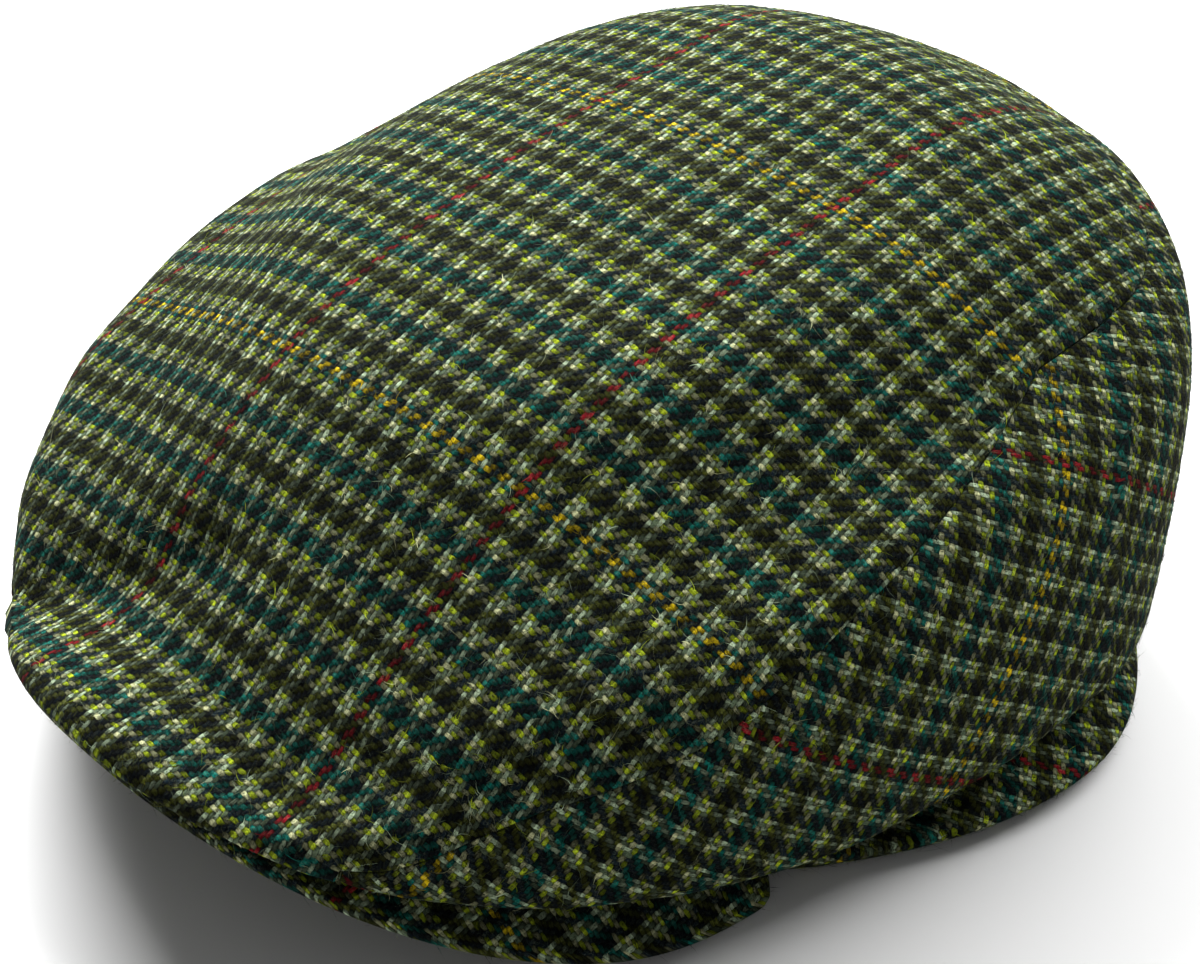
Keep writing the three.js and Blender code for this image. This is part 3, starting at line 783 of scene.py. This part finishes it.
def side_panel(name, node, hand):
    """A side panel, hand 1 for the left or -1 for the right: (object, outer points, normals, counts)."""
    angles = side_angles if hand > 0 else -side_angles[::-1]
    heights = side_heights if hand > 0 else side_heights[:, ::-1]
    grid = np.broadcast_to(angles, heights.shape)
    p = crown(grid, heights)
    to_top = np.linalg.norm(p - p[-1], axis=-1)
    front_column = 0 if hand > 0 else -1
    to_back = np.abs(p[..., 0])
    to_front = np.linalg.norm(p - p[:, front_column][:, None], axis=-1)
    edge = np.minimum(np.minimum(to_top, to_back), to_front)
    outer, inner, n = wall(grid, heights, edge)
    count = side_threads.at(np.abs(grid), heights)
    made = cloth_object(name, outer, inner, count, np.ones(heights.shape, bool), False)
    made.data.materials.append(tweed("tweed_" + name))
    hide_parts(node)
    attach(made, "root")
    return made, outer, n, count


left_cloth, left_outer, left_normal, left_count = side_panel("side_left_cloth", "side_panel_left", 1)
right_cloth, right_outer, right_normal, right_count = side_panel("side_right_cloth", "side_panel_right", -1)

# The peak: a stiff board cut to a crescent and bent to an arch, with the same tweed stretched
# over it and round its rounded edge, and sewn in under the front of the crown.
PEAK_ACROSS, PEAK_EDGE = 14, 8  # mesh steps across the board and round its edge
LAST_TURN = 89.6  # degrees from the front to each end
END_OVER, END_SIZE = 2.0, 0.25  # each end narrows to this share of the width over these degrees
turns = np.radians(np.linspace(-LAST_TURN, LAST_TURN, 241))
end_share = np.clip((LAST_TURN - np.abs(np.degrees(turns))) / END_OVER, 0, 1)
size = np.sqrt(np.clip(1 - (1 - end_share) ** 2, 0, 1)) * (1 - END_SIZE) + END_SIZE
# round a section of the peak: how far out, how far round the edge, and 1 above or -1 below
profile = [(k / PEAK_ACROSS, 0.0, 1.0) for k in range(PEAK_ACROSS + 1)]
round_edge = [math.pi * k / PEAK_EDGE for k in range(1, PEAK_EDGE)]
profile += [(1.0, math.sin(turn), math.cos(turn)) for turn in round_edge]
profile += [(k / PEAK_ACROSS, 0.0, -1.0) for k in range(PEAK_ACROSS, -1, -1)]
profile = np.array(profile)


def crescent_edge(half, temple, front, roundness):
    """An edge of the crescent from above, as (x, y) at each of the turns."""
    x = half * signed_power(np.sin(turns), 2 / roundness)
    y = temple + (front - temple) * np.cos(turns) ** (2 / roundness)
    return np.stack([x, y], -1)


outside = crescent_edge(PEAK["half"], PEAK["temple"], PEAK["front"], PEAK["roundness"])
inside = crescent_edge(PEAK["join_half"], PEAK["join_temple"], PEAK["join"], PEAK["join_roundness"])
away = unit(outside - inside)
half_board = PEAK["thickness"] / 2
reach = 0.5 + (profile[:, 0] - 0.5) * size[:, None]
plan = inside[:, None] + (outside - inside)[:, None] * reach[..., None]
plan = plan + away[:, None] * (profile[:, 1] * half_board * size[:, None])[..., None]
slope = -2 * PEAK["rise_edge"] * plan[..., 0] / PEAK["half"] ** 2
lean = np.hypot(1, slope)
board_middle = peak_top(plan[..., 0], plan[..., 1]) - half_board * lean
lift = profile[:, 2] * half_board * size[:, None]
peak_points = np.stack([plan[..., 0] - lift * slope / lean, plan[..., 1], board_middle + lift / lean], -1)
# the cloth's threads run on over the peak as they lie over the crown in front
steps = np.linalg.norm(np.diff(peak_points, axis=1), axis=2)
girth = np.concatenate([np.zeros((len(turns), 1)), np.cumsum(steps, axis=1)], 1)
edge_girth = girth - girth[:, PEAK_ACROSS][:, None]
peak_ends = peak_points[..., 0] / END_PITCH * 1.08 + 8.0
peak_picks = (plan[..., 1] + np.where(edge_girth > 0, -edge_girth, 0) * 0.9) / PICK_PITCH
peak_count = np.stack([peak_ends, peak_picks], -1)
stations, ring = peak_points.shape[:2]
grid = np.arange(stations * ring).reshape(stations, ring)
beside = np.roll(grid, -1, axis=1)
quads = np.stack([grid[:-1].ravel(), beside[:-1].ravel(), beside[1:].ravel(), grid[1:].ravel()], 1)
fan = np.arange(1, ring - 1)
first_cap = np.stack([np.zeros(ring - 2, int), fan + 1, fan], 1)
last_cap = np.stack([np.zeros(ring - 2, int), fan, fan + 1], 1) + (stations - 1) * ring
loops = np.concatenate([quads.ravel(), first_cap.ravel(), last_cap.ravel()])
sizes = np.concatenate([np.full(len(quads), 4), np.full(2 * (ring - 2), 3)])
starts = np.concatenate([[0], np.cumsum(sizes)[:-1]])
peak_placed = lean_front(peak_points)
peak_uvs = peak_count.reshape(-1, 2)[loops]
peak_cloth = mesh_object("peak_cloth", peak_placed.reshape(-1, 3) * MM, loops, starts, peak_uvs)
peak_cloth.data.materials.append(tweed("tweed_peak_cloth"))
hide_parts("peak")
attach(peak_cloth, "root")

# The nap: woollen yarn is spun from short fibres, so loose ends stand off the cloth all over and
# blur its outline. Tufts are several fibres together, and hairs are long single ones.
NAP_LIGHT = 1.25
LOWEST_FIBRE = 0.05
TUFT = {"widths": (0.06, 0.14), "stretch": 0.8}
HAIR = {"widths": (0.025, 0.05), "stretch": 1.25}
nap_material = tweed("wool_nap", NAP_LIGHT, nap=True)


def nap(name, outer, normal, count, used, number, seed, widths, stretch):
    """number fibres on the outer face, each a thin ribbon that curls and tapers to its tip."""
    draw = np.random.default_rng(seed)
    whole = used[:-1, :-1] & used[1:, :-1] & used[:-1, 1:] & used[1:, 1:]
    a, b, c = outer[:-1, :-1], outer[:-1, 1:], outer[1:, :-1]
    area = np.linalg.norm(np.cross(b - a, c - a), axis=-1) * whole
    cell = draw.choice(area.size, number, p=(area / area.sum()).ravel())
    j, i = np.unravel_index(cell, area.shape)
    s, t = draw.random((2, number, 1))

    def between(grid):
        low_edge = grid[j, i] * (1 - s) + grid[j, i + 1] * s
        return low_edge * (1 - t) + (grid[j + 1, i] * (1 - s) + grid[j + 1, i + 1] * s) * t

    root, out = between(outer), unit(between(normal))
    threads = between(count)
    flat_way = draw.normal(size=(number, 3))
    flat_way = unit(flat_way - (flat_way * out).sum(-1, keepdims=True) * out)
    side_way = np.cross(out, flat_way)
    length = (draw.gamma(3.0, 0.42, (number, 1)) + 0.3) * stretch
    rise = draw.random((number, 1)) ** 2 * 0.50 + 0.08
    curl = draw.normal(0, 1.0, (number, 1))
    width = draw.uniform(*widths, (number, 1))
    points = []
    for share, taper in ((0.0, 1.0), (0.35, 1.0), (0.7, 0.75)):
        spine = root + length * share * (flat_way + side_way * curl * share + out * rise * (1 - 0.45 * share))
        turn_way = unit(side_way + out * draw.normal(0, 0.6, (number, 1)))
        points += [spine - turn_way * width * taper / 2, spine + turn_way * width * taper / 2]
    points.append(root + length * (flat_way + side_way * curl + out * rise * 0.55))
    points = np.stack(points, 1)
    points[..., 2] = np.maximum(points[..., 2], LOWEST_FIBRE)
    base = np.arange(number)[:, None] * 7
    quads = np.concatenate([base + (0, 1, 3, 2), base + (2, 3, 5, 4)]).ravel()
    tips = (base + (4, 5, 6)).ravel()
    loops = np.concatenate([quads, tips])
    sizes = np.concatenate([np.full(2 * number, 4), np.full(number, 3)])
    starts = np.concatenate([[0], np.cumsum(sizes)[:-1]])
    uvs = np.repeat(threads, 7, axis=0)[loops]
    made = mesh_object(name, points.reshape(-1, 3) * MM, loops, starts, uvs)
    made.data.materials.append(nap_material)
    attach(made, "root")
    return made


top_face = (top_outer, top_normal, top_count, top_used)
top_nap = nap("nap_top", *top_face, 38000, 1, **TUFT)
top_hair = nap("hair_top", *top_face, 30000, 5, **HAIR)
side_used = np.ones(side_heights.shape, bool)
left_face = (left_outer, left_normal, left_count, side_used)
left_nap = nap("nap_left", *left_face, 20000, 2, **TUFT)
left_hair = nap("hair_left", *left_face, 9000, 6, **HAIR)
right_nap = nap("nap_right", right_outer, right_normal, right_count, side_used, 16000, 3, **TUFT)
peak_out = unit(peak_placed - np.roll(peak_placed, ring // 2, axis=1))
peak_used = np.ones(peak_placed.shape[:2], bool)
nap("nap_peak", peak_placed, peak_out, peak_count, peak_used, 6000, 4, **TUFT)
